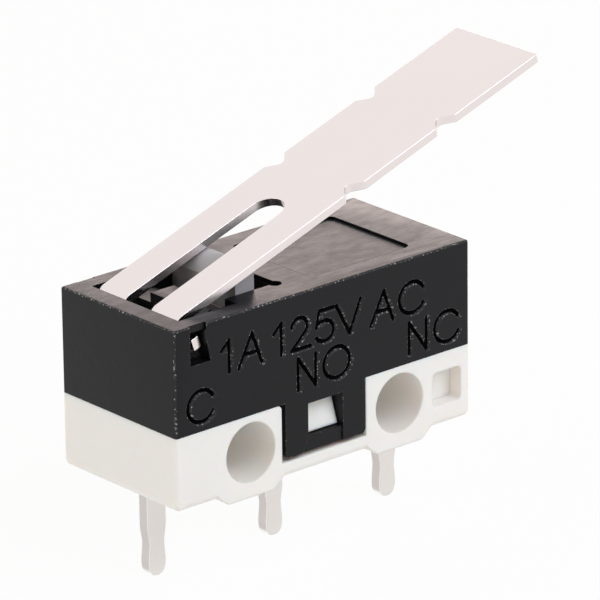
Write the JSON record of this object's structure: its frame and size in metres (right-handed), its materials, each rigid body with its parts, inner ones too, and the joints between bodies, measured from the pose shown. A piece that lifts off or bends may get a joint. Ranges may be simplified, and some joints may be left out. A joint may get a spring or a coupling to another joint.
{
  "type": "lever micro switch",
  "caption": "Small snap-action switch whose hinged sheet lever pushes a plunger and flips a changeover contact; mounting holes cross the base and solder legs hang below.",
  "frame": {"origin": "midway between the two mounting-hole axes, on the middle of the body's thickness", "axes": "+X from the lever's hinge end to its free end, +Y away from the marked face along the mounting holes, +Z from the solder legs to the plunger"},
  "size_m": [0.0168, 0.0058, 0.0151],
  "materials": {
    "white_plastic": "moulded white, satin",
    "black_plastic": "moulded black, fine texture",
    "grey_plastic": "moulded grey, satin",
    "spring_steel": "bright rolled sheet",
    "tinned_brass": "tin-plated, dull silver",
    "contact_silver": "bright silver",
    "spring_bronze": "rolled copper alloy"
  },
  "bodies": {
    "housing": {"base": "white_plastic", "cover": "black_plastic", "common_terminal": "tinned_brass", "normally_open_terminal": "tinned_brass", "normally_closed_terminal": "tinned_brass", "open_contact": "contact_silver", "closed_contact": "contact_silver", "snap_blade": "spring_bronze"},
    "lever_arm": {"lever": "spring_steel"},
    "push_bar": {"plunger": "grey_plastic"},
    "contact_end": {"moving_contact": "contact_silver"}
  },
  "joints": [
    {"name": "lever_hinge", "type": "hinge", "parent": "housing", "child": "lever_arm", "pos_m": [-0.00527, 0, 0.00427], "axis": [0, 1, 0], "range_deg": [0, 9.5], "stiffness_Nm_per_rad": 0.01, "springref_deg": -11.46},
    {"name": "plunger_slide", "type": "slide", "parent": "housing", "child": "push_bar", "axis": [0, 0, -1], "range_m": [0, 0.000585]},
    {"name": "contact_slide", "type": "slide", "parent": "housing", "child": "contact_end", "axis": [0, 0, -1], "range_m": [0, 0.00035], "deforming": ["snap_blade"]}
  ],
  "couplings": [
    {"joint": "plunger_slide", "follows": "lever_hinge", "m_per_rad": 0.003527},
    {"joint": "contact_slide", "follows": "lever_hinge", "m_per_rad": 0.00211}
  ]
}
